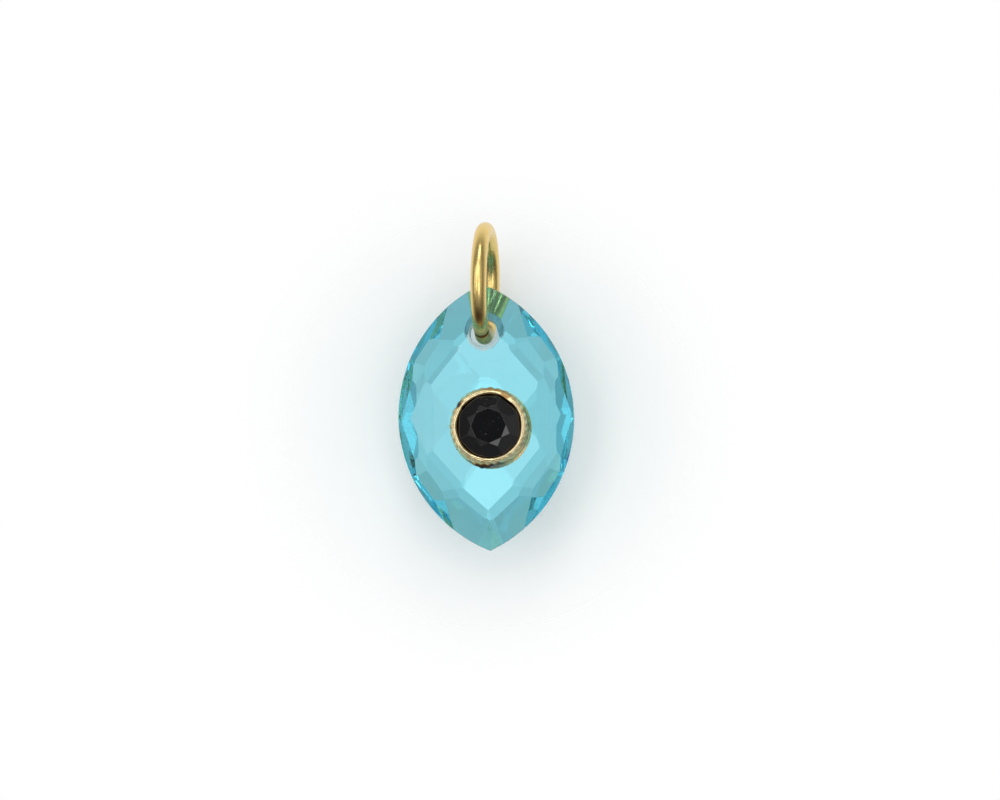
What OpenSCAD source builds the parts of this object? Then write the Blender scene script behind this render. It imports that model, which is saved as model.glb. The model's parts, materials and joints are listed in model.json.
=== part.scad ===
// Evil eye charm: a faceted blue marquise stone hangs on a round jump ring and
// carries a black brilliant, the pupil, in a fluted gold cup.
// Millimetres. The charm hangs as worn: +Z is up, the face looks along -Y, and the
// origin is the chain seat, the highest point inside the jump ring.

/* [Blue stone] */
// Width of the stone at its waist
stone_w = 10; // [8:0.1:13]
// Height of the stone from sharp tip to sharp tip
stone_h = 15.2; // [12:0.1:20]
// Thickness of the stone between its two flat tables
stone_t = 4.2; // [3.5:0.1:5.5]
// Thickness left at the girdle beside the waist
girdle_t = 0.7; // [0.3:0.05:1]
// Thickness left at the girdle beside the two tips
tip_girdle_t = 1.1; // [0.6:0.05:1.4]
// Radius to which the top tip is ground
tip_r = 1.2; // [0.8:0.1:2]

/* [Facets of the blue stone] */
// Slope of the four slanting star facets round the table
star_tilt = 8; // [5:0.5:12]
// Slope of the two star facets beside the waist
star_side_tilt = 12; // [8:0.5:16]
// Slope of the two star facets towards the tips
star_tip_tilt = 9.5; // [5:0.5:12]
// Slope of the bevel that follows the outline
bevel_tilt = 45; // [35:1:55]
// Width of the bevel
bevel_w = 1.05; // [0.6:0.05:1.4]
// Distance from the table's middle to its slanting edges
table_reach = 1.6; // [1.2:0.1:2]
// Distance from the table's middle to its side edges
table_side = 1.9; // [1.4:0.1:2.2]
// Distance from the table's middle to its end edges
table_tip = 2.1; // [1.6:0.1:2.6]
// Width of the slanting shoulder facets, between stars and bevel
shoulder_w = 1.18; // [0.8:0.05:1.6]
// Width of the shoulder facets beside the waist
shoulder_side_w = 1; // [0.6:0.05:1.4]
// Length of the narrow strips that run from the end stars to the tips
strip_l = 2.25; // [1.8:0.05:2.8]

/* [Hanging hole] */
// Distance from the middle of the hole to the ground top tip
hole_down = 2.65; // [2.2:0.05:3]
// Depth of the worn flare at each mouth of the hole, on its axis
flare_depth = 0.25; // [0.15:0.05:0.4]

/* [Jump ring] */
// Outside diameter of the ring
ring_od = 7; // [6.5:0.1:9]
// Thickness of the ring's wire
wire_d = 0.9; // [0.6:0.05:1.2]
// Play of the bent wire in the hole, above it and below it
wire_play = 0.15; // [0.1:0.01:0.3]
// Turn of the ring about the vertical, out of square with the stone
ring_turn = 5; // [0:1:8]
// Width of the saw cut where the wire's ends meet
seam_w = 0.04; // [0.02:0.01:0.1]
// Place of the saw cut, down from the front of the ring
seam_at = 52; // [0:1:360]

/* [Pupil stone] */
// Diameter of the black stone
pupil_d = 4; // [3:0.1:5]
// Diameter of its table, corner to corner
pupil_table_d = 2; // [1.6:0.1:2.6]
// Height of its crown
crown_h = 0.5; // [0.35:0.05:0.7]
// Height of its girdle
pupil_girdle = 0.1; // [0.05:0.01:0.2]
// Depth of its pavilion
pavilion_h = 1.15; // [0.9:0.05:1.4]

/* [Gold cup] */
// Thickness of the cup's wall
wall_t = 0.15; // [0.1:0.01:0.25]
// Gap between the black stone's girdle and the wall
pupil_gap = 0.01; // [0.005:0.005:0.05]
// How far the flutes stand out from the wall
flute_out = 0.13; // [0.08:0.01:0.2]
// Number of flutes
flutes = 30; // [20:1:40]
// Height of the rim above the black stone's girdle
rim_h = 0.3; // [0.2:0.02:0.45]
// How far the rim is pressed in over the black stone
rim_in = 0.18; // [0.1:0.01:0.25]
// Thickness of the base plate
plate_t = 0.2; // [0.15:0.01:0.4]
// Width of the inner ring that carries the black stone
bearing_w = 0.25; // [0.15:0.01:0.4]
// Diameter of the peg behind the plate
peg_d = 0.8; // [0.6:0.05:1.2]
// Length of the peg
peg_l = 1; // [0.6:0.05:1.4]

/* [Seat of the cup] */
// Depth of the seat drilled into the stone's table
seat_depth = 0.6; // [0.4:0.05:0.9]
// Thickness of the glue round the cup and the peg
glue_t = 0.06; // [0.04:0.01:0.12]
// Shift of the cup to the right of the stone's middle
cup_right = 0.3; // [-0.5:0.05:0.5]
// Shift of the cup below the stone's middle
cup_down = 0.7; // [0:0.05:0.8]
// Lean of the cup to the left, as it was glued
cup_lean_left = 3; // [0:0.5:4]
// Lean of the cup upwards, as it was glued
cup_lean_up = 3; // [0:0.5:4]

/* [Hidden] */
$fn = 96;
big = 4 * stone_h;      // edge of the blocks that shape the facets
eps = 0.02;             // how far a cutter runs past the face it opens

// The outline is two equal arcs that meet in the tips.
arc_r = (pow(stone_w / 2, 2) + pow(stone_h / 2, 2)) / stone_w;
arc_c = arc_r - stone_w / 2;
half_t = stone_t / 2;

// Directions of the facets across the face, from the right-hand side
SLANT = 40;             // slanting star and shoulder facets
SHOULDER_TIP = 60;      // shoulder facets beside the tips
BEVELS = [12, 36];      // bevel facets on each quarter of the outline

// How far the outline reaches in one direction from the middle
function edge_reach(turn) =
    abs(cos(turn)) > arc_c / arc_r ? arc_r - arc_c * abs(cos(turn))
                                   : stone_h / 2 * abs(sin(turn));

// Where the star facets end, and the height of the face over the mid-plane there
star_side = stone_w / 2 - bevel_w - shoulder_side_w;
star_reach = edge_reach(SLANT) - bevel_w - shoulder_w;
star_tip = stone_h / 2 - strip_l;
slant_end = half_t - tan(star_tilt) * (star_reach - table_reach);
side_end = half_t - tan(star_side_tilt) * (star_side - table_side);
tip_end = half_t - tan(star_tip_tilt) * (star_tip - table_tip);
bevel_top = girdle_t / 2 + tan(bevel_tilt) * bevel_w;

// Steepness of a facet that joins two heights at two distances
function fall(h1, reach1, h2, reach2) = (h1 - h2) / (reach2 - reach1);

// The four directions that mirror one another across both axes of the stone
function quarters(turn) = [turn, 180 - turn, 180 + turn, 360 - turn];

// The top tip is ground to a circle that touches both arcs.
tip_z = sqrt(pow(arc_r - tip_r, 2) - pow(arc_c, 2));
TIP_FLATS = [70 : 10 : 110];

// Heights above the stone's middle, and half the length of the hole's straight part
hole_up = tip_z + tip_r - hole_down;
hole_half = half_t - tan(star_tip_tilt) * (hole_up - table_tip) - flare_depth;

// The wire bends as it passes the hole, so the hole is as much wider than the wire
// as the wire rises between the hole's middle and its mouths.
ring_r = (ring_od - wire_d) / 2;
ring_z = wire_d / 2 - ring_r;
ring_in = ring_od / 2 - wire_d;
bent_wire_d = ring_od / 2 - sqrt(pow(ring_in, 2) - pow(hole_half, 2));
hole_d = bent_wire_d + 2 * wire_play;
hole_z = ring_z - ring_od / 2 - wire_play + hole_d / 2;
stone_z = hole_z - hole_up;

// Heights in the cup, from the stone's table outwards
plate_z = glue_t - seat_depth;
floor_z = plate_z + plate_t;
culet_gap = 0.05;
girdle_z = floor_z + culet_gap + pavilion_h;
crown_z = girdle_z + pupil_girdle;
rim_z = crown_z + rim_h;
pupil_r = pupil_d / 2;
wall_in = pupil_r + pupil_gap;
wall_out = wall_in + wall_t;
cup_r = wall_out + flute_out;
bearing_in = wall_in - bearing_w;

// Slopes of the black stone's facets; half a step turns from a main to the gap beside it
MAINS = 8;
half_step = 180 / MAINS;
main_tilt = atan(crown_h / (pupil_r - pupil_table_d / 2));
small_star_tilt = 0.55 * main_tilt;
break_tilt = main_tilt + 8;
pavilion_slope = pavilion_h / pupil_r;

// The rim clears the crown where its facets stand highest, and the bearing ring
// clears the pavilion where its facets hang lowest.
function over_crown(r) =
    crown_z + tan(break_tilt) * (pupil_r - r * cos(half_step / 2)) + pupil_gap;
rim_lap_z = over_crown(wall_in - rim_in);
bearing_z = girdle_z - pavilion_slope * (pupil_r - bearing_in * cos(half_step)) - pupil_gap;

// Facets of the front face, each as [turn, reach, high, steep]: the plane stands `high`
// over the mid-plane at `reach` from the middle, and falls by `steep` for each
// millimetre further out in the direction `turn`.
TABLE = [[0, 0, half_t, 0]];
STARS = [
    for (t = [0, 180]) [t, table_side, half_t, tan(star_side_tilt)],
    for (t = [90, 270]) [t, table_tip, half_t, tan(star_tip_tilt)],
    for (t = quarters(SLANT)) [t, table_reach, half_t, tan(star_tilt)]
];
SHOULDERS = [
    for (t = [0, 180])
        [t, star_side, side_end, fall(side_end, star_side, bevel_top, edge_reach(0) - bevel_w)],
    for (t = quarters(SLANT))
        [t, star_reach, slant_end,
         fall(slant_end, star_reach, bevel_top, edge_reach(SLANT) - bevel_w)],
    for (t = quarters(SHOULDER_TIP), r = star_tip * sin(SHOULDER_TIP))
        [t, r, tip_end, fall(tip_end, r, tip_girdle_t / 2, edge_reach(SHOULDER_TIP))]
];
// narrow strip down the middle of each tip
STRIPS = [
    for (t = [90, 270])
        [t, star_tip, tip_end, fall(tip_end, star_tip, girdle_t / 2, edge_reach(90))]
];
BEVEL = [
    for (q = BEVELS, t = quarters(q)) [t, edge_reach(q), girdle_t / 2, tan(bevel_tilt)]
];

// Everything behind one facet's plane
module behind(facet)
    rotate([0, -facet[0], 0])
        translate([facet[1], -facet[2], 0])
            rotate([0, 0, atan(facet[3])])
                translate([-big / 2, 0, -big / 2])
                    cube(big);

module faceted_front()
    intersection_for(facet = concat(TABLE, STARS, SHOULDERS, STRIPS, BEVEL))
        behind(facet);

// The stone's outline through its whole thickness: two arcs
module outline()
    intersection_for(way = [-1, 1])
        translate([way * arc_c, stone_t, 0])
            rotate([90, 0, 0])
                cylinder(r = arc_r, h = 2 * stone_t, $fn = 360);

// The top tip, ground round in small flats
module ground_tip()
    translate([0, 0, tip_z])
        intersection_for(turn = TIP_FLATS)
            rotate([0, -turn, 0])
                translate([tip_r - big, -big / 2, -big / 2])
                    cube(big);

module hanging_hole()
    translate([0, 0, hole_up]) {
        translate([0, stone_t, 0])
            rotate([90, 0, 0])
                cylinder(d = hole_d, h = 2 * stone_t);
        for (turn = [0, 180])
            rotate([90, 0, turn])
                translate([0, 0, hole_half])
                    cylinder(r1 = hole_d / 2, r2 = hole_d / 2 + stone_t, h = stone_t);
    }

// Places the cup: its own +Z leaves the stone's table, and z = 0 is the table.
module in_cup()
    translate([cup_right, -half_t, stone_z - cup_down])
        rotate([-cup_lean_up, 0, -cup_lean_left])
            rotate([90, 0, 0])
                children();

module blue_stone()
    color([0.45, 0.8, 0.88, 0.6])
        difference() {
            translate([0, 0, stone_z])
                difference() {
                    intersection() {
                        outline();
                        ground_tip();
                        faceted_front();
                        mirror([0, 1, 0]) faceted_front();
                    }
                    hanging_hole();
                }
            in_cup() {
                translate([0, 0, -seat_depth])
                    cylinder(r = cup_r + glue_t, h = stone_t);
                translate([0, 0, plate_z - peg_l - glue_t])
                    cylinder(d = peg_d + 2 * glue_t, h = peg_l + stone_t);
            }
        }

module jump_ring()
    color("gold")
        translate([0, 0, ring_z])
            rotate([0, 0, -ring_turn])
                rotate([0, 90, 0])
                    rotate([0, 0, seam_at])
                        rotate_extrude(angle = 360 - seam_w / ring_r * 180 / PI)
                            translate([ring_r, 0])
                                circle(d = wire_d);

module glue()
    color([0.9, 0.9, 0.8, 0.5])
        in_cup()
            difference() {
                union() {
                    translate([0, 0, -seat_depth])
                        cylinder(r = cup_r + glue_t, h = seat_depth - 2 * glue_t);
                    translate([0, 0, plate_z - peg_l - glue_t])
                        cylinder(d = peg_d + 2 * glue_t, h = peg_l);
                }
                translate([0, 0, plate_z])
                    cylinder(r = cup_r, h = seat_depth);
                translate([0, 0, plate_z - peg_l])
                    cylinder(d = peg_d, h = peg_l + seat_depth);
            }

module base_plate()
    color("gold")
        in_cup()
            translate([0, 0, plate_z])
                cylinder(r = cup_r, h = plate_t);

module peg()
    color("goldenrod")
        in_cup()
            translate([0, 0, plate_z - peg_l])
                cylinder(d = peg_d, h = peg_l);

// A plain tube, its rim pressed in over the black stone's crown, with flutes outside
module fluted_wall()
    color("gold")
        in_cup() {
            rotate_extrude()
                polygon([[wall_in, floor_z], [wall_out, floor_z], [wall_out, rim_z - wall_t / 2],
                         [wall_out - wall_t / 2, rim_z], [wall_out - wall_t, rim_z],
                         [wall_in - rim_in, rim_lap_z + wall_t / 3],
                         [wall_in - rim_in, rim_lap_z], [wall_in, over_crown(pupil_r)]]);
            for (i = [0 : flutes - 1])
                rotate([0, 0, i * 360 / flutes])
                    translate([wall_out, 0, floor_z])
                        cylinder(r = flute_out, h = rim_z - wall_t - floor_z, $fn = 24);
        }

module bearing_ring()
    color("goldenrod")
        in_cup()
            translate([0, 0, floor_z])
                difference() {
                    cylinder(r = wall_in, h = bearing_z - floor_z);
                    translate([0, 0, -eps])
                        cylinder(r = bearing_in, h = bearing_z - floor_z + 2 * eps);
                }

// Facets of the black stone, each as [turn, reach, high, tilt] of a plane that slopes
// down and outwards from the point at that reach and height. Tilts over 90 face down.
CROWN = [
    for (i = [0 : MAINS - 1], t = i * 360 / MAINS) each [
        [t, pupil_r, crown_z, main_tilt],
        [t + half_step, pupil_table_d / 2 * cos(half_step), crown_z + crown_h, small_star_tilt],
        [t + half_step / 2, pupil_r, crown_z, break_tilt],
        [t - half_step / 2, pupil_r, crown_z, break_tilt]
    ]
];
PAVILION = [
    for (i = [0 : MAINS - 1]) [i * 360 / MAINS, pupil_r, girdle_z, 180 - atan(pavilion_slope)]
];

module inside(facet)
    rotate([0, 0, facet[0]])
        translate([facet[1], 0, facet[2]])
            rotate([0, facet[3], 0])
                translate([-big / 2, -big / 2, -big])
                    cube(big);

// Round brilliant: table, eight stars, eight mains and sixteen breaks over the girdle,
// eight mains under it
module black_stone()
    color([0.06, 0.06, 0.08])
        in_cup()
            intersection() {
                translate([0, 0, girdle_z - pavilion_h])
                    cylinder(r = pupil_r, h = pavilion_h + pupil_girdle + crown_h);
                intersection_for(facet = concat(CROWN, PAVILION))
                    inside(facet);
            }

jump_ring();
blue_stone();
glue();
base_plate();
peg();
fluted_wall();
bearing_ring();
black_stone();
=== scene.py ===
# %% [markdown]
# # An evil eye charm
# The charm is a blue glass stone cut to a pointed oval, hung on a gold jump ring. In the
# middle of its face sits a black stone in a small gold cup, the pupil of the eye. The CAD
# model gives every place and size, and this lesson gives each piece its real surface. We
# start by loading that model, which stays fixed as the frame that everything is built on.

# %% Load the frame
import json
import math

import bmesh
import bpy
from mathutils import Matrix, Vector, noise


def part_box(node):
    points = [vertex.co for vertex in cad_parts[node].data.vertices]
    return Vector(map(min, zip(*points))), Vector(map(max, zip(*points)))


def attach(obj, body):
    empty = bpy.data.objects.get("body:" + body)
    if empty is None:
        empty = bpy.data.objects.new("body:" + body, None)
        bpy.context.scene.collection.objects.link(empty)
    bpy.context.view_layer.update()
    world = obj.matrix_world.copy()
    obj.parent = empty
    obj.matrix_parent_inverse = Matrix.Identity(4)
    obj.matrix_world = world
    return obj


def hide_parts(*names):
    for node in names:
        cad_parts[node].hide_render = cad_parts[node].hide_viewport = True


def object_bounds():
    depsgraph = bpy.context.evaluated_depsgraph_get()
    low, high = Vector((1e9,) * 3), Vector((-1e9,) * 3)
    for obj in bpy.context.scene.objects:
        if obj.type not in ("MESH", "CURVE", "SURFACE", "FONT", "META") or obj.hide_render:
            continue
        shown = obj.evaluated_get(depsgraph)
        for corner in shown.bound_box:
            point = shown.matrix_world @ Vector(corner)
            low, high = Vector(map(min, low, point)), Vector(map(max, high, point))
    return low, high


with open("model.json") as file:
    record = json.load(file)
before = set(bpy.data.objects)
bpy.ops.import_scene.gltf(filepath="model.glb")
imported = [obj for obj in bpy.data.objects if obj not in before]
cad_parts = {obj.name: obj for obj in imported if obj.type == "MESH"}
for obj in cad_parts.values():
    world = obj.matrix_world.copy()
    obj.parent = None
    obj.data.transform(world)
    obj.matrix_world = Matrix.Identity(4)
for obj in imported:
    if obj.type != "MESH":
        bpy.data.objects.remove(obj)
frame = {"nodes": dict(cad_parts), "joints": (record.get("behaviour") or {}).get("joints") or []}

cad_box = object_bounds()
print("CAD nodes:", sorted(frame["nodes"]))

# %% [markdown]
# Blender's cutting tools have small fixed tolerances, and a charm measured in metres is
# smaller than some of them. So each piece is cut on a bench that works in millimetres, and
# is scaled down to metres only when it is finished. The frame's own numbers are scaled up
# in the same way when they are read.

# %% A bench in millimetres
MM = 0.001


def box_mm(node):
    """Lowest and highest corner of a CAD node, in millimetres."""
    low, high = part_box(node)
    return low / MM, high / MM


def to_object(name, bm):
    """Puts a mesh into the scene as an object, with its faces looking outwards."""
    bmesh.ops.recalc_face_normals(bm, faces=bm.faces)
    mesh = bpy.data.meshes.new(name)
    bm.to_mesh(mesh)
    bm.free()
    thing = bpy.data.objects.new(name, mesh)
    bpy.context.scene.collection.objects.link(thing)
    return thing


def finished(name, bm, material, body, slot, *nodes):
    """Takes a mesh off the bench, makes it a piece and hangs it on its body."""
    piece = to_object(name, bm)
    piece.data.transform(Matrix.Scale(MM, 4))
    piece.data.materials.append(material)
    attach(piece, body)
    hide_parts(*nodes)
    print(f"{name}: {len(piece.data.polygons)} faces for {', '.join(nodes)}")
    return piece


def mark(piece, name, domain, values):
    """Stores one number for each face or corner of a piece, for its finish to read."""
    layer = piece.data.attributes.new(name, "FLOAT", domain)
    layer.data.foreach_set("value", values)


# %% [markdown]
# Most metal pieces here are skins: rows of points with quads stretched between
# them. A row may close on itself, as round a wire, and the rows may close on each other,
# as round a whole ring. One helper covers the ring, the cup, the bead of glue and the
# cutter for the hole.

# %% Stretch a skin over rows of points
def skin(bm, rows, rows_close=False, caps=False):
    """Quads between rows of points; each row closes on itself. Returns the vertices."""
    grid = [[bm.verts.new(point) for point in row] for row in rows]
    pairs = list(zip(grid, grid[1:]))
    if rows_close:
        pairs.append((grid[-1], grid[0]))
    for one, two in pairs:
        for i in range(len(one)):
            j = (i + 1) % len(one)
            bm.faces.new((one[i], one[j], two[j], two[i])).smooth = True
    if caps:
        for row in (grid[0], grid[-1]):
            bm.faces.new(row)
    return grid


def turns(count):
    """Angles that go once round in equal steps."""
    return [math.tau * i / count for i in range(count)]


# %% [markdown]
# The stones were cut on a wheel, facet by facet. The same order works in a mesh: start
# with a blank, then slice it with one plane for each facet. The planes are read from the
# CAD node: a flat face counts as a facet when the whole stone lies behind it, so the
# drilled holes drop out by themselves. Where a cut only grazes a corner it leaves needles
# of faces, and those are merged away at the end.

# %% Read the facets of a cut stone
def facets_of(node, least_area=0.01):
    """The planes of a node's outer facets, as (point, normal) in millimetres."""
    mesh = frame["nodes"][node].data
    corners = [v.co / MM for v in mesh.vertices]
    planes = []
    for face in sorted(mesh.polygons, key=lambda f: -f.area):
        if face.area / MM ** 2 < least_area:
            break
        normal, point = face.normal.copy(), face.center / MM
        known = any(n.dot(normal) > 0.99995 for _, n in planes)
        if not known and max(normal.dot(c - point) for c in corners) < 0.004:
            planes.append((point, normal))
    return planes


stone_facets = [(p, n) for p, n in facets_of("blue_stone") if abs(n.y) > 0.1]
pupil_facets = facets_of("black_stone", 0.005)
print(len(stone_facets), "facets on the blue stone,", len(pupil_facets), "on the black one")


# %% Slice a blank into a faceted stone
def slice_off(bm, point, normal):
    """Cuts away all that stands in front of a plane and closes the cut."""
    geom = bm.verts[:] + bm.edges[:] + bm.faces[:]
    bmesh.ops.bisect_plane(bm, geom=geom, dist=1e-6, plane_co=point, plane_no=normal,
                           clear_outer=True)
    rim = [e for e in bm.edges if e.is_boundary]
    if rim:
        bmesh.ops.contextual_create(bm, geom=rim)


def polish_edges(bm, width, least_angle):
    """Rounds the sharp edges a little, as polishing does."""
    bmesh.ops.remove_doubles(bm, verts=bm.verts, dist=0.002)
    bmesh.ops.recalc_face_normals(bm, faces=bm.faces)
    sharp = [e for e in bm.edges if e.is_manifold and e.calc_face_angle() > least_angle]
    bmesh.ops.bevel(bm, geom=sharp, offset=width, segments=2, profile=0.5, affect="EDGES",
                    clamp_overlap=True)


def drop_slivers(bm):
    """Joins corners that all but touch, so that no needle of a face is left."""
    bmesh.ops.triangulate(bm, faces=bm.faces)
    bmesh.ops.remove_doubles(bm, verts=bm.verts, dist=0.0012)
    bmesh.ops.dissolve_degenerate(bm, edges=bm.edges, dist=0.0012)
    bmesh.ops.triangulate(bm, faces=bm.faces)


# %% [markdown]
# Now the shader tools. A finish is worked out with ordinary arithmetic, so a small class
# wraps the output of a node and overloads the operators: writing `1 - mask * 0.5` adds the
# Math nodes for it. Every other node comes from one method, which takes the node's type,
# its settings and what goes into its sockets.

# %% Shader sums in plain arithmetic
def feed(tree, socket, value):
    """Links a Flow to a socket, or sets a plain value on it."""
    if isinstance(value, Flow):
        tree.links.new(value.socket, socket)
    else:
        socket.default_value = value


class Flow:
    """What flows out of a node, ready to be used in a sum."""

    def __init__(self, tree, socket):
        self.tree = tree
        self.socket = socket

    def math(self, operation, *terms):
        node = self.tree.nodes.new("ShaderNodeMath")
        node.operation = operation
        for socket, term in zip(node.inputs, terms):
            feed(self.tree, socket, term)
        return Flow(self.tree, node.outputs[0])

    def __add__(self, other):
        return self.math("ADD", self, other)

    def __radd__(self, other):
        return self.math("ADD", other, self)

    def __sub__(self, other):
        return self.math("SUBTRACT", self, other)

    def __rsub__(self, other):
        return self.math("SUBTRACT", other, self)

    def __mul__(self, other):
        return self.math("MULTIPLY", self, other)

    def __rmul__(self, other):
        return self.math("MULTIPLY", other, self)

    def __abs__(self):
        return self.math("ABSOLUTE", self)


class Nodes:
    """One node tree: a material's or the world's."""

    def __init__(self, tree):
        self.tree = tree

    def add(self, kind, settings=None, sockets=None, out=0):
        node = self.tree.nodes.new("ShaderNode" + kind)
        for name, value in (settings or {}).items():
            if name == "stops":
                ramp = node.color_ramp.elements
                while len(ramp) < len(value):
                    ramp.new(0.5)
                for stop, (place, level) in zip(ramp, value):
                    stop.position = place
                    stop.color = (level, level, level, 1)
            else:
                setattr(node, name, value)
        for name, value in (sockets or {}).items():
            feed(self.tree, node.inputs[name], value)
        return Flow(self.tree, node.outputs[out])

    def between(self, value, low, high):
        """0 below low, 1 above high, and a soft change between them."""
        return self.add("MapRange", {"interpolation_type": "SMOOTHSTEP"},
                        {"Value": value, "From Min": low, "From Max": high})

    def tint(self, share, one, two):
        """A colour that goes from one to two."""
        return self.add("Mix", {"data_type": "RGBA"}, {0: share, 6: one, 7: two}, out=2)

    def grain(self, place, scale, detail=3.0, rough=0.5):
        """Noise from 0 to 1; its scale is in cells for each millimetre."""
        return self.add("TexNoise", {}, {"Vector": place, "Scale": scale / MM,
                                         "Detail": detail, "Roughness": rough})

    def relief(self, strength, depth, height):
        """A bump; its depth is in millimetres."""
        return self.add("Bump", {}, {"Strength": strength, "Distance": depth * MM,
                                     "Height": height})

    def stored(self, name):
        """A number that was stored in the mesh with mark()."""
        return self.add("Attribute", {"attribute_name": name}, out="Fac")

    def fill(self, node, values):
        """Sets or links several inputs of a node of the tree."""
        for name, value in values.items():
            feed(self.tree, self.tree.nodes[node].inputs[name], value)

    def shade(self, values):
        self.fill("Principled BSDF", values)

    def shaded(self):
        """The Principled shader, to be mixed with another one."""
        return Flow(self.tree, self.tree.nodes["Principled BSDF"].outputs[0])


# %% [markdown]
# Polished things are never flawless: cloths and coins leave hair-thin scratches in all
# directions. A scratch is a noise that has been stretched a long way in one direction and
# of which only the thin crest is kept. Two directions crossed over each other already
# look random. The pattern uses the object's own coordinates, so it rides with the piece.

# %% Hairline scratches
def scratches(nodes, place, turns_by, scale, keep=0.012):
    """A mask of fine scratches, 1 on a scratch, in each of the given directions."""
    mask = 0.0
    for turn in turns_by:
        turned = nodes.add("Mapping", {}, {"Vector": place, "Rotation": turn})
        long_way = nodes.add("Mapping", {}, {"Vector": turned, "Scale": (1, 0.03, 1)})
        wavy = nodes.grain(long_way, scale, 2.0)
        mask = mask + (1 - nodes.between(abs(wavy - 0.5), 0.0, keep))
    return mask


def new_finish(name):
    """A material, the tools to fill it, and the place on the object that is shaded."""
    material = bpy.data.materials.new(name)
    material.use_nodes = True
    nodes = Nodes(material.node_tree)
    return material, nodes, nodes.add("TexCoord", out="Object")


# %% [markdown]
# ## The blue stone
# The stone is clear glass in an aqua blue. Most of the colour is a tint that light takes on
# where it goes in and where it comes out again. The rest is a volume absorption, one
# density and one colour for the whole stone: light loses some more red on its way
# through, so long slanting paths turn a deeper teal. The facets do the rest by bending
# light. The ground wall of the hole is rough, paler, and mixed with some matt white.

# %% Aqua glass
soak_colour, soak_density = (0.1, 0.86, 0.97), 75.0


def aqua_glass():
    material, nodes, place = new_finish("aqua_glass")
    frost = nodes.stored("frost")
    hairs = scratches(nodes, place, [(0.3, 0.5, 0.2), (0.1, -0.7, 1.1), (0.9, 1.3, 0.4)],
                      scale=1.2, keep=0.006)
    patches = nodes.between(nodes.grain(place, 0.35, 2.0), 0.45, 0.7)
    hairs = hairs * patches
    ground = nodes.grain(place, 14.0, 4.0, 0.6)
    nodes.shade({
        "Base Color": nodes.tint(frost, (0.37, 0.87, 0.985, 1), (0.85, 0.97, 1.0, 1)),
        "Roughness": 0.01 + hairs * 0.08 + frost * 0.55,
        "Normal": nodes.relief(0.6, 0.03, ground * frost * 0.6 - hairs * 0.05),
        "Transmission Weight": 1.0,
        "IOR": 1.54,
    })
    soak = nodes.add("VolumeAbsorption", {}, {"Color": soak_colour + (1,),
                                              "Density": soak_density})
    white = nodes.add("BsdfDiffuse", {}, {"Color": (0.93, 0.97, 0.98, 1)})
    mixed = nodes.add("MixShader", {}, {0: frost * 0.4, 1: nodes.shaded(), 2: white})
    nodes.fill("Material Output", {"Volume": soak, "Surface": mixed})
    return material


glass = aqua_glass()
half_red = math.log(2) / (soak_density * (1 - soak_colour[0]))
print(f"aqua glass: half the red is gone after {half_red / MM:.0f} mm inside")

# %% [markdown]
# The blank is the outline pulled through the thickness. The outline is two equal arcs that
# meet in sharp tips, except that the top tip was ground round, so that a chain doesn't
# catch on it. The waist's width and the lower tip come from the CAD box.

# %% The stone's outline
low, high = box_mm("blue_stone")
half_wide = (high.x - low.x) / 2
half_tall = 7.6
half_thick = (high.y - low.y) / 2
waist_z = low.z + half_tall
arc_radius = (half_wide ** 2 + half_tall ** 2) / (2 * half_wide)
arc_centre = arc_radius - half_wide
tip_radius = 1.2
tip_z = waist_z + math.sqrt((arc_radius - tip_radius) ** 2 - arc_centre ** 2)


def right_side(steps=84):
    """Points of the right half of the outline, from the lower tip up to the top."""
    meet = math.atan2(tip_z - waist_z, arc_centre)
    start = -math.asin(half_tall / arc_radius)
    arc = [start + (meet - start) * i / steps for i in range(steps + 1)]
    points = [(arc_radius * math.cos(a) - arc_centre, waist_z + arc_radius * math.sin(a))
              for a in arc]
    cap = [meet + (math.pi / 2 - meet) * i / 16 for i in range(1, 17)]
    points += [(tip_radius * math.cos(a), tip_z + tip_radius * math.sin(a)) for a in cap]
    return points


right = right_side()
outline = right + [(-x, z) for x, z in reversed(right[1:-1])]
print(f"outline: {len(outline)} points, top {right[-1][1]:.3f}, CAD top {high.z:.3f}")

# %% [markdown]
# The blank is sliced by every facet, front and back. Real facet edges are crisp but not
# razor sharp; a very small bevel catches a thread of light along each of them.

# %% Cut and polish the blue stone
def blue_blank():
    bm = bmesh.new()
    thick = half_thick * 1.2
    skin(bm, [[(x, y, z) for x, z in outline] for y in (-thick, thick)], caps=True)
    for point, normal in stone_facets:
        slice_off(bm, point, normal)
    polish_edges(bm, 0.022, math.radians(3))
    for face in bm.faces:
        face.smooth = abs(face.normal.y) < 0.05
    return bm


stone_bm = blue_blank()
print("blue stone after slicing:", len(stone_bm.faces), "faces")

# %% [markdown]
# The hanging hole was drilled from both faces with a diamond burr. Its wall is left
# ground and frosty, and the rims are chipped. The cutter is a lathe shape whose radius
# wanders a little, more so in the flared mouths, and the boolean takes it out of the
# stone. Each face it leaves is marked in an attribute called frost, which the glass reads.

# %% Shape the cutter for the hole
hole_z = frame["joints"][0]["pos_m"][2] / MM
drilled = frame["nodes"]["blue_stone"].data
bore = min(math.hypot(v.co.x / MM, v.co.z / MM - hole_z) for v in drilled.vertices)
slope_starts, slope = 2.1, math.radians(9.5)    # the long facet over the middle one
mouth_y = half_thick - math.tan(slope) * (hole_z - waist_z - slope_starts)
print(f"hole: bore {2 * bore:.3f} mm at z {hole_z:.3f}, mouths {mouth_y:.3f} mm off the middle")


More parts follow.
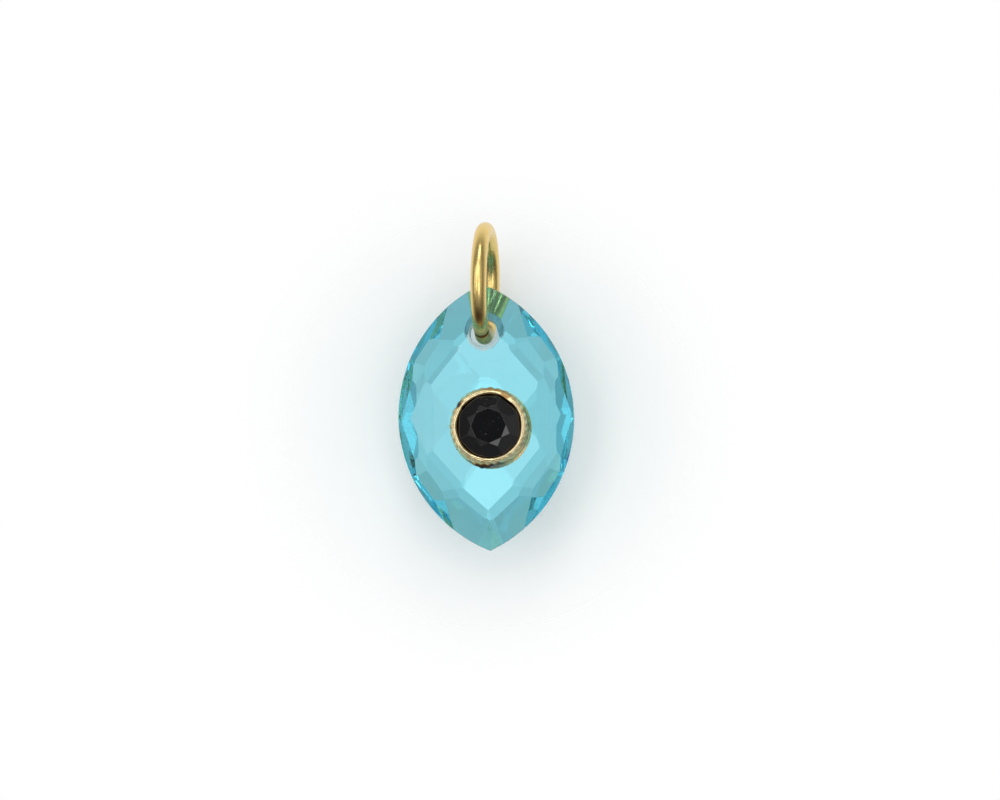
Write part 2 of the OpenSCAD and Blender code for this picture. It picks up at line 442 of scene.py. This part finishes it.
def hole_cutter():
    bm = bmesh.new()
    flare_starts = mouth_y - 0.1
    stations = [-3.2, -mouth_y - 0.3, -mouth_y, -mouth_y + 0.05, -flare_starts]
    stations += [-mouth_y + 0.3, -1.1, -0.7, -0.3, 0.0]
    stations += [-y for y in reversed(stations[:-1])]
    rows = []
    for y in stations:
        flare = max(0.0, abs(y) - flare_starts) * 0.9
        row = []
        for a in turns(120):
            spot = Vector((math.cos(a) * 2.2, math.sin(a) * 2.2, y * 1.5))
            chips = noise.noise(spot * 1.3) + 0.5 * noise.noise(spot * 3.4)
            radius = bore + flare * (1 + 0.5 * abs(chips)) + 0.015 * abs(chips)
            row.append((radius * math.cos(a), y, hole_z + radius * math.sin(a)))
        rows.append(row)
    skin(bm, rows, caps=True)
    return bm


# %% [markdown]
# The cup stands in a shallow seat and is glued in with clear epoxy. Glue has nearly the
# same refractive index as the glass, so it can't be seen, and the gold looks as if it grew
# out of the stone. To get that look the seat is cut a hair smaller than the cup, so the
# metal lies just inside the glass and no film of air is left between them.

# %% Find the cup's own axes
def cup_axes():
    """A frame whose origin is the inside floor of the cup and whose Z leaves the stone."""
    wall = frame["nodes"]["fluted_wall"].data
    plate = frame["nodes"]["base_plate"].data
    faces = [f for f in plate.polygons if f.normal.y < -0.9]
    out = sum((f.normal * f.area for f in faces), Vector()).normalized()
    centre = sum((f.center * f.area for f in faces), Vector()) / sum(f.area for f in faces)
    right_way = (Vector((1, 0, 0)) - out * out.x).normalized()
    up = out.cross(right_way)
    axes = Matrix((right_way, up, out)).transposed().to_4x4()
    axes.translation = centre / MM
    heights = [(v.co / MM - axes.translation).dot(out) for v in wall.vertices]
    return axes, max(heights)


cup, rim_top = cup_axes()
cup_axis = cup.to_3x3() @ Vector((0, 0, 1))
print(f"cup: floor at {tuple(round(x, 3) for x in cup.translation)}, wall {rim_top:.3f} mm")


# %% Round shapes on the cup's axis
def reach_of(node):
    """Largest distance of a node's vertices from the cup's axis."""
    away = cup.inverted()
    return max((away @ (v.co / MM)).xy.length for v in frame["nodes"][node].data.vertices)


def spot_at(angle, radius, height):
    """A point in the cup's own axes."""
    return radius * math.cos(angle), radius * math.sin(angle), height


def plug(radius, low_end, high_end, sides):
    """A plain cylinder on the cup's axis."""
    bm = bmesh.new()
    skin(bm, [[spot_at(a, radius, z) for a in turns(sides)] for z in (low_end, high_end)],
         caps=True)
    bmesh.ops.transform(bm, matrix=cup, verts=bm.verts)
    return bm


cup_inside = reach_of("bearing_ring")
wall_outside = cup_inside + 0.1
seat = wall_outside - 0.02
print(f"cup: {2 * cup_inside:.2f} mm inside, {2 * seat:.2f} mm seat")


# %% Drill the stone
def drill(bm, cutters):
    """Takes each cutter out of the mesh; faces it leaves get that cutter's number."""
    blank = to_object("blank", bm)
    tools = []
    for number, cutter in enumerate(cutters, 1):
        for face in cutter.faces:
            face.material_index = number
        tool = to_object("tool", cutter)
        tools.append(tool)
        for thing in (tool, blank):
            while len(thing.data.materials) <= len(cutters):
                thing.data.materials.append(None)
        cut = blank.modifiers.new("cut", "BOOLEAN")
        cut.solver = "EXACT"
        cut.object = tool
    bpy.context.view_layer.update()
    shape = blank.evaluated_get(bpy.context.evaluated_depsgraph_get())
    out = bmesh.new()
    out.from_mesh(shape.to_mesh())
    for thing in tools + [blank]:
        bpy.data.objects.remove(thing)
    drop_slivers(out)
    return out


stone_bm = drill(stone_bm, [hole_cutter(), plug(seat, -0.1, 2.5, 96)])
ground_faces = [f.material_index == 1 for f in stone_bm.faces]
print("drilled:", len(stone_bm.faces), "faces,", sum(ground_faces), "of them ground")

# %% Finish the blue stone
for face in stone_bm.faces:
    face.material_index = 0
blue_stone = finished("glass_eye", stone_bm, glass, "charm", "blue_stone", "blue_stone")
mark(blue_stone, "frost", "FACE", [float(ground) for ground in ground_faces])

# %% [markdown]
# ## Gold
# Ring and cup are brass with a thin gold plate. Polished gold shows mostly its
# surroundings, so the metal itself stays simple: full metallic, a warm base colour and a
# low roughness. Wear shows as patches that are a little duller, and old polish and
# tarnish stay brown wherever a cloth can't reach. Some of the brown is painted light: a
# painted dark reflection low on the front of the ring, and painted shade on the cup
# along the top of its wall outside, inside under the rim and in a pressed-in spot.

# %% Polished gold for the ring
def wire_gold():
    material, nodes, place = new_finish("wire_gold")
    hairs = scratches(nodes, place, [(0.2, 0.1, 0.4), (1.2, 0.4, -0.5)], scale=2.0)
    cloudy = nodes.grain(place, 0.9, 3.0)
    # brown: tarnish at the saw cut, and a painted dark reflection low on the front of the wire
    brown = nodes.between(nodes.stored("tarnish") + (cloudy - 0.5) * 0.3, 0.35, 0.8)
    gold = nodes.tint(cloudy, (0.93, 0.66, 0.22, 1), (1.0, 0.76, 0.3, 1))
    ripples = nodes.grain(place, 1.6, 1.0)
    nodes.shade({
        "Base Color": nodes.tint(brown, gold, (0.24, 0.11, 0.035, 1)),
        "Roughness": 0.21 + cloudy * 0.07 + hairs * 0.1 + brown * 0.1,
        "Normal": nodes.relief(0.35, 0.04, ripples * 0.4 - hairs * 0.03),
        "Metallic": 1.0,
    })
    return material


ring_gold = wire_gold()
print("ring gold: warm, bright, with faint clouds and hairlines")

# %% [markdown]
# ## The jump ring
# A jump ring is a coil of wire sawn into single loops. The two ends meet butt to butt,
# never perfectly: one stands a little proud, and the saw leaves a dark line between them.
# The section is swept round most of a circle, shrinks over the last steps to round the
# ends, and wanders a little, as a ring does that was closed with pliers. The ring leans
# sideways about its lowest point, where the stone hangs, so the stone still hangs straight.

# %% Bend the jump ring
ring_low, ring_high = box_mm("jump_ring")
wire = 0.45
loop = (ring_high.z - ring_low.z) / 2 - wire
ring_lean, ring_yaw = math.radians(2.5), math.radians(-5)
ring_mid = Vector((loop * math.sin(ring_lean), 0, (ring_high.z + ring_low.z) / 2))
ring_turn = Matrix.Rotation(ring_lean, 4, "Y") @ Matrix.Rotation(ring_yaw, 4, "Z")
section_sides = 40
saw_at = math.radians(66)
saw_half = 0.02 / loop


def wire_section(angle, radius, shift):
    """One ring of points round the wire, angle measured down from the front."""
    spoke = Vector((0, -math.cos(angle), -math.sin(angle)))
    side = Vector((1, 0, 0))
    points = []
    for a in turns(section_sides):
        spot = spoke * (loop + shift + radius * math.cos(a)) + side * radius * math.sin(a)
        spot += side * 0.006 * math.sin(2 * angle + 1)
        points.append(ring_turn @ spot + ring_mid)
    return points


def bend_ring():
    bm = bmesh.new()
    steps = 240
    rows, marks = [], []
    ends = [(0.0, 0.6), (0.004, 0.86), (0.012, 0.97), (0.025, 1.0)]
    stations = ends + [(i / steps, 1.0) for i in range(8, steps - 7)]
    stations += [(1 - s, k) for s, k in reversed(ends)]
    for s, k in stations:
        angle = saw_at + saw_half + (math.tau - 2 * saw_half) * s
        near_end = max(0.0, 1 - min(s, 1 - s) / 0.05)
        dent = 1 - 0.025 * near_end * math.sin(near_end * math.pi)
        dent -= 0.004 * math.sin(7 * angle)
        proud = 0.015 * near_end * (1 if s > 0.5 else -1)
        rows.append(wire_section(angle, wire * k * dent, proud))
        for a in turns(section_sides):
            # Dark line at the saw cut; lower down on the front of the wire, a painted dark
            # reflection of the stone
            near_saw = max(0.0, 1 - min(s, 1 - s) / 0.012) * 1.2
            down = math.degrees(angle % math.tau)
            painted_dark_reflection = math.exp(-((down - 36) / 14) ** 2) * max(0.0, math.cos(a)) ** 3
            marks.append(near_saw + 0.68 * painted_dark_reflection)
    skin(bm, rows, caps=True)
    return bm, marks


ring_bm, ring_marks = bend_ring()
jump_ring = finished("ring_of_wire", ring_bm, ring_gold, "ring", "gold_wire", "jump_ring")
mark(jump_ring, "tarnish", "POINT", ring_marks)

# %% [markdown]
# ## The fluted cup
# The cup is hand made: a strip of thin gold, pressed over a ridged die, bent round and
# pressed in over the black stone at its rim. The ridges run at a slant and no two are
# alike, so their phase drifts with the angle, and their depth wanders too. The rim was
# rubbed bright with a steel burnisher. A lump of dark solder hangs under the cup, and
# tarnish sits in the valleys and along the seam with the stone. Painted shade darkens
# the top of the wall outside, the inside under the rim and a pressed-in spot.

# %% Gold for the cup, dark in its valleys and with painted shade
def cup_gold():
    material, nodes, place = new_finish("cup_gold")
    tarnish = nodes.stored("tarnish")
    specks = nodes.grain(place, 5.0, 4.0, 0.6)
    rough = nodes.between(tarnish, -0.1, 0.3)
    # The stored marks carry patina and painted shade alike; both turn the gold duller and brown
    dirt_and_shade = tarnish + (specks - 0.5) * 0.6
    wear_and_shade = nodes.between(dirt_and_shade, 0.05, 0.6)
    brown = nodes.between(dirt_and_shade, 0.6, 1.1)
    gold = nodes.tint(wear_and_shade, (1.0, 0.84, 0.48, 1), (0.62, 0.36, 0.12, 1))
    pits = nodes.grain(place, 9.0, 3.0, 0.55)
    nodes.shade({
        "Base Color": nodes.tint(brown, gold, (0.05, 0.025, 0.013, 1)),
        "Metallic": 0.92 - wear_and_shade * 0.35 - brown * 0.15,
        "Roughness": 0.2 + specks * 0.1 + wear_and_shade * 0.15 + brown * 0.05,
        "Normal": nodes.relief(0.5, 0.03, pits * (0.15 + 0.85 * rough)),
    })
    return material


wall_gold = cup_gold()
print("cup gold: grainy, brown where tarnish is left")

# %% [markdown]
# The wall is a set of rows round the cup's axis. Its shape is a few bells added up, each
# one at its own place round the cup: the drop of solder, a pressed-in spot, a wall that
# stands out more at the upper left and less at the lower right.

# %% Shape of the wall
upper_left, lower_right = (145, 75), (325, 75)


def bell(angle, centre, width):
    """1 at one place round the cup, fading to 0; angles in degrees, 90 is the top."""
    off = (math.degrees(angle) - centre + 180) % 360 - 180
    return math.exp(-(off / width) ** 2)


def ridge(angle, height):
    """How far a ridge stands out at one place on the wall, from 0 to 1."""
    drift = 0.8 * math.sin(2 * angle + 0.6) + 0.6 * math.sin(5 * angle + 2.1)
    wave = math.sin(32 * angle + 3.4 * height + drift)
    around = Vector((math.cos(angle), math.sin(angle), 0.4 * height))
    broad = noise.noise(around * 1.6) + 0.6 * noise.noise(around * 7.0)
    return max(0.0, min(1.0, 0.55 + 0.22 * wave + 0.55 * broad))


def lump(angle, height):
    """The drop of solder under the cup."""
    return bell(angle, 259, 17) * max(0.0, 1 - (max(0.0, height - 0.75) / 0.4) ** 2)


def rim_wave(angle):
    """The rim stands a little higher or lower as it goes round."""
    around = Vector((math.cos(angle), math.sin(angle), 0.3))
    return 0.07 * noise.noise(around * 1.9) + 0.03 * noise.noise(around * 6.0)


# %% Build the wall
def cup_rows():
    """Rows of (points, marks) from the foot up outside, over the rim, and down inside; the marks
    stand for patina and for painted shade.
    """
    seam = 0.74
    lip = cup_inside - 0.18
    crown = rim_top - 0.3
    bend = rim_top - 0.5
    for share in [i / 20 for i in range(21)]:
        row, marks = [], []
        for a in turns(360):
            height = share * (rim_top - 0.03 + rim_wave(a))
            lean = max(0.0, (height - bend) / (rim_top - bend))
            clear = min(1.0, max(0.0, height - seam) / 0.08)
            stand = (0.12 - 0.04 * lean) * ridge(a, height) * (1 - lean ** 5)
            stand += 0.27 * lump(a, height) - 0.04 * bell(a, 142, 7) * share
            stand += 0.08 * (bell(a, *upper_left) - 0.7 * bell(a, *lower_right)) * (1 - lean)
            reach = wall_outside - 0.12 * lean ** 1.5 + stand * clear
            row.append(spot_at(a, reach, height))
            valley = 1 - ridge(a, height)
            # Patina in the valleys, dark solder, darker towards the foot; painted shade along
            # the top outside (70 degrees) and in the pressed-in spot (142 degrees)
            mark = 0.1 + 0.6 * valley * (1 - lean ** 5) + 1.3 * lump(a, height) ** 0.5
            mark += 0.9 * bell(a, 142, 6) + 0.45 * bell(a, 70, 24) + 0.25 * (1 - share) ** 2
            marks.append(mark)
        yield row, marks
    bead = cup_inside - 0.085
    inner = [(bead + 0.07 * math.cos(b), rim_top - 0.07 + 0.07 * math.sin(b))
             for b in [math.pi * i / 8 for i in range(1, 9)]]
    burnished = len(inner) - 1
    inner += [(lip + 0.005, rim_top - 0.1), (lip, rim_top - 0.125),
             (lip + 0.012, crown + 0.162), (cup_inside - 0.02, crown + 0.05),
             (cup_inside, crown - 0.1), (cup_inside, 0.0)]
    for n, (r, z) in enumerate(inner):
        row, marks = [], []
        for a in turns(360):
            top = max(0.0, 1 - abs(rim_top - z) / 0.2)
            wander = noise.noise(Vector((math.cos(a) * 2.5, math.sin(a) * 2.5, 5)))
            reach = r + 0.045 * wander * top - 0.05 * bell(a, 52, 14) * top
            row.append(spot_at(a, reach, z + rim_wave(a) * top))
            # Painted shade inside the cup: near the top (60 degrees), in the pressed-in spot and
            # below the burnished bead
            shade = 0.9 * bell(a, 60, 13) + 0.7 * bell(a, 142, 5)
            marks.append(shade - 0.35 if n < burnished else shade + 0.5)
        yield row, marks


rows, marks = zip(*cup_rows())
wall_bm = bmesh.new()
skin(wall_bm, rows, rows_close=True)
bmesh.ops.transform(wall_bm, matrix=cup, verts=wall_bm.verts)
wall = finished("fluted_cup", wall_bm, wall_gold, "charm", "gold_cup", "fluted_wall")
mark(wall, "tarnish", "POINT", [value for row in marks for value in row])

# %% [markdown]
# The plate under the cup, its peg and the inner ring that carries the black stone have
# simple shapes that the CAD already holds, so those nodes stay. They only get the gold;
# from behind, the plate and the peg can be seen through the stone.

# %% Plate, peg and inner ring
for node in ("base_plate", "peg", "bearing_ring"):
    finishes = frame["nodes"][node].data.materials
    finishes.clear()
    finishes.append(wall_gold)
print("plate, peg and inner ring are gold too")

# %% [markdown]
# ## The glue
# When the cup was pushed home, a little epoxy came out round its foot and set there as a
# thin clear bead. It is a small skin with a sagging section that follows the wall.

# %% Clear epoxy
def epoxy():
    material, nodes, place = new_finish("clear_epoxy")
    lumps = nodes.grain(place, 2.5, 2.0)
    nodes.shade({
        "Base Color": (0.96, 1.0, 0.98, 1),
        "Roughness": 0.03 + lumps * 0.06,
        "Normal": nodes.relief(0.3, 0.03, lumps),
        "Transmission Weight": 1.0,
        "IOR": 1.5,
    })
    return material


# %% Squeeze out the bead
def table_height(x, y):
    """Height of the stone's front above the cup's floor, under a point of the cup."""
    start = cup @ Vector((x, y, 0))
    return min(normal.dot(point - start) / normal.dot(cup_axis)
               for point, normal in stone_facets if normal.y < 0)


def glue_bead():
    bm = bmesh.new()
    rows = []
    for a in turns(180):
        swell = 0.035 * (1 + 0.5 * noise.noise(Vector((math.cos(a) * 2, math.sin(a) * 2, 9))))
        foot = wall_outside + 0.06 * bell(a, *upper_left) - 0.07 * bell(a, *lower_right)
        section = [(foot + 0.03 + swell * math.sin(b), swell * math.cos(b))
                   for b in [math.pi / 2 * i / 6 for i in range(7)]]
        section += [(foot, 0.0), (foot, swell * 1.3)]
        row = []
        for r, rise in section:
            x, y, base = spot_at(a, r, 0.003)
            row.append((x, y, base + table_height(x, y) + rise))
        rows.append(row)
    skin(bm, rows, rows_close=True)
    bmesh.ops.transform(bm, matrix=cup, verts=bm.verts)
    return bm


finished("glue_bead", glue_bead(), epoxy(), "charm", "glue", "glue")

# %% [markdown]
# ## The black stone
# The pupil is a small round brilliant in black glass. Nothing shines through it, so only
# its skin matters: a near-black body with a hard polish. Its eight star facets tilt away
# from the table, and two of them catch a lamp as grey triangles.

# %% Black polish
def jet_black():
    material, nodes, place = new_finish("jet_black")
    hairs = scratches(nodes, place, [(0.4, 0.2, 0.9), (1.0, 0.3, -0.4)], scale=2.2, keep=0.008)
    dust = nodes.between(nodes.grain(place, 7.0, 2.0), 0.7, 0.75)
    nodes.shade({
        "Base Color": nodes.tint(dust, (0.0012, 0.0015, 0.0025, 1), (0.02, 0.02, 0.024, 1)),
        "Roughness": 0.035 + hairs * 0.08 + dust * 0.25,
        "Normal": nodes.relief(0.15, 0.04, nodes.grain(place, 0.8, 1.0)),
        "IOR": 1.62,
    })
    return material


# %% Cut the black stone
def cut_pupil():
    bm = plug(reach_of("black_stone"), -1.0, 3.0, 160)
    for point, normal in pupil_facets:
        if abs(normal.dot(cup_axis)) > 0.1:
            slice_off(bm, point, normal)
    polish_edges(bm, 0.009, math.radians(4))
    drop_slivers(bm)
    for face in bm.faces:
        face.smooth = abs(face.normal.dot(cup_axis)) < 0.05
    return bm


finished("pupil", cut_pupil(), jet_black(), "charm", "black_stone", "black_stone")

# %% [markdown]
# ## The studio
# The charm hangs over a pale floor, and a card stands close behind it to catch its soft
# shadow. The card is a pale grey blue, dimmer than the white of the room, and it fades
# out close round the stone, so it also paints a soft shadow round the charm. The card
# shows only its face, so the charm can be looked at from behind as well. Both fade out
# towards their edges into the white of the room.

# %% Floor and card
def pale_sheet(name, tone, inner, outer, glow, one_sided):
    """A matt white that fades out between two distances from the sheet's middle."""
    material, nodes, place = new_finish(name)
    away = nodes.add("VectorMath", {"operation": "LENGTH"}, {0: place}, out="Value")
    shown = 1 - nodes.between(away, inner, outer)
    if one_sided:
        shown = shown * (1 - nodes.add("NewGeometry", out="Backfacing"))
    darker = tuple(t * 0.985 for t in tone)
    nodes.shade({
        "Base Color": nodes.tint(nodes.grain(place, 1.2, 3.0), darker + (1,), tone + (1,)),
        "Roughness": 0.9,
        "Specular IOR Level": 0.0,
        "Emission Color": (1, 1, 1, 1),
        "Emission Strength": glow,
    })
    clear = nodes.add("BsdfTransparent")
    mixed = nodes.add("MixShader", {}, {0: shown, 1: clear, 2: nodes.shaded()})
    nodes.fill("Material Output", {"Surface": mixed})
    return material


def sheet_of(name, size, matrix, material):
    bm = bmesh.new()
    bmesh.ops.create_grid(bm, x_segments=8, y_segments=8, size=size)
    mesh = bpy.data.meshes.new(name)
    bm.to_mesh(mesh)
    bm.free()
    thing = bpy.data.objects.new(name, mesh)
    thing.matrix_world = matrix
    bpy.context.scene.collection.objects.link(thing)
    mesh.materials.append(material)
    thing.visible_transmission = False
    return thing


lowest, highest = cad_box
middle = (lowest + highest) / 2
card_y = highest.y + 0.0006
floor = sheet_of("floor", 0.2, Matrix.Translation((0, 0, lowest.z - 0.032)),
                 pale_sheet("floor_white", (0.9, 0.9, 0.9), 0.05, 0.19, 0.1, False))
card_place = Matrix.Translation((middle.x, card_y, waist_z * MM))
card_place = card_place @ Matrix.Rotation(math.pi / 2, 4, "X")
# The card's grey blue tone, low glow and near fade paint a soft shadow round the stone
sheet_of("card", 0.03, card_place,
         pale_sheet("card_with_painted_shadow", (0.85, 0.9, 0.905), 0.005, 0.0155, 0.205, True))
floor.visible_glossy = False
print(f"card {1000 * (card_y - highest.y):.1f} mm behind the ring")

# %% [markdown]
# Gold and black glass show the room, so the room matters as much as the metal. Behind the
# charm all is white. To the sides the light falls off, and in front of it the room is
# dim, which gives gold its brown streaks and keeps the black stone black. Light that has
# come through the glass sees a second, softer pattern, so that the facets show as pale
# and deeper blues. The camera itself always sees plain white there.

# %% The room
def room():
    world = bpy.data.worlds.new("room")
    bpy.context.scene.world = world
    world.use_nodes = True
    nodes = Nodes(world.node_tree)
    way = nodes.add("TexCoord", out="Generated")
    split = nodes.add("SeparateXYZ", {}, {0: way}, out="X").socket.node
    across, along, up = (Flow(nodes.tree, output) for output in split.outputs)
    shown = nodes.add("ValToRGB", {"stops": [(0.0, 0.10), (0.012, 0.13), (0.035, 0.42),
                                             (0.12, 0.55), (0.25, 0.2), (0.42, 0.26),
                                             (0.52, 0.5), (0.68, 0.78), (0.8, 0.84)]},
                      {"Fac": along * 0.5 + 0.5})
    beside = nodes.add("ValToRGB", {"stops": [(0.0, 1.0), (0.03, 0.99), (0.1, 0.84),
                                              (0.2, 0.73), (1.0, 0.72)]},
                       {"Fac": abs(across + 0.06)})
    above = nodes.add("ValToRGB", {"stops": [(0.0, 1.0), (0.25, 1.0), (0.5, 0.78),
                                             (1.0, 0.76)]}, {"Fac": abs(up)})
    ahead = 0.7 + 0.3 * nodes.between(along, -0.2, 0.2)
    ahead = ahead * (0.85 + 0.15 * nodes.between(abs(up + 0.135), 0.045, 0.085))
    through = nodes.add("LightPath", out="Is Transmission Ray")
    shaded = 0.45 + 0.55 * nodes.between(up, -0.75, -0.05)
    level = nodes.tint(through, shown * shaded, beside * above * ahead * 0.98)
    seen = nodes.add("LightPath", out="Is Camera Ray")
    colour = nodes.tint(seen, level, (1.0, 1.0, 1.0, 1))
    nodes.fill("Background", {"Color": colour})


room()
print("room: white behind, dim in front")

# %% [markdown]
# Each lamp is a softbox that the camera can't see. A polished facet shows a lamp only when
# it mirrors that direction to the eye, so the lamps stand where the ring, the rim of the
# cup and two star facets of the black stone look, and not where its table does.

# %% Seven softboxes
def softbox(name, across, up, half_wide, half_tall, brightness):
    """A lamp seen from the charm at these angles from straight ahead, in degrees."""
    far = 0.6
    width, height = (2 * far * math.tan(math.radians(a)) for a in (half_wide, half_tall))
    lamp = bpy.data.lights.new(name, "AREA")
    lamp.shape = "RECTANGLE"
    lamp.size, lamp.size_y = width, height
    lamp.energy = brightness * math.pi * width * height
    thing = bpy.data.objects.new(name, lamp)
    a, e = math.radians(across), math.radians(up)
    way = Vector((math.sin(a) * math.cos(e), -math.cos(a) * math.cos(e), math.sin(e)))
    thing.location = middle + way * far
    thing.rotation_euler = way.to_track_quat("Z", "Y").to_euler()
    thing.visible_camera = False
    bpy.context.scene.collection.objects.link(thing)


lamps = [
    ("lamp_high", 8, 58, 9, 12, 3.0),
    ("lamp_ahead", -8, 23, 5, 8, 1.3),
    ("lamp_between", -9, 38.5, 5, 7, 1.4),
    ("lamp_ahead_left", -22, 9, 9, 22, 1.4),
    ("lamp_ahead_right", 6, 17.5, 9, 14.5, 1.4),
    ("lamp_low", 10, -11, 12, 12.5, 1.7),
    ("lamp_left", -52, 5, 5, 22, 1.2),
]
for lamp in lamps:
    softbox(*lamp)
print(len(lamps), "softboxes")

# %% [markdown]
# ## The camera
# The eye of the charm looks straight out, and the camera stands a little to the right of
# it and a little below, far enough off for a long lens. That is why the cup shows more of
# its wall on the right and at the bottom. It is rolled by a degree and a half, because a
# charm seldom hangs quite straight. Light may bounce often, or the mirror-like paths
# inside the stone would end in black.

# %% Camera
azimuth, elevation, roll = (math.radians(a) for a in (2, -3, -1.6))
distance, view_width, film_width = 0.45, 0.057, 36
aim = Vector((middle.x + 0.8 * MM, 0, middle.z - 0.8 * MM))
back = Vector((math.sin(azimuth) * math.cos(elevation),
               -math.cos(azimuth) * math.cos(elevation), math.sin(elevation)))
camera = bpy.data.objects.new("camera", bpy.data.cameras.new("camera"))
bpy.context.scene.collection.objects.link(camera)
camera.location = aim + back * distance
upright = back.to_track_quat("Z", "Y").to_matrix()
camera.rotation_euler = (upright @ Matrix.Rotation(roll, 3, "Z")).to_euler()
camera.data.sensor_width = film_width
camera.data.lens = film_width * distance / view_width
camera.data.clip_start = 0.01
bpy.context.scene.camera = camera
bpy.context.scene.view_settings.view_transform = "Standard"
for limit in ("max_bounces", "transmission_bounces", "glossy_bounces"):
    setattr(bpy.context.scene.cycles, limit, 24)
print(f"lens {camera.data.lens:.0f} mm at {distance} m")
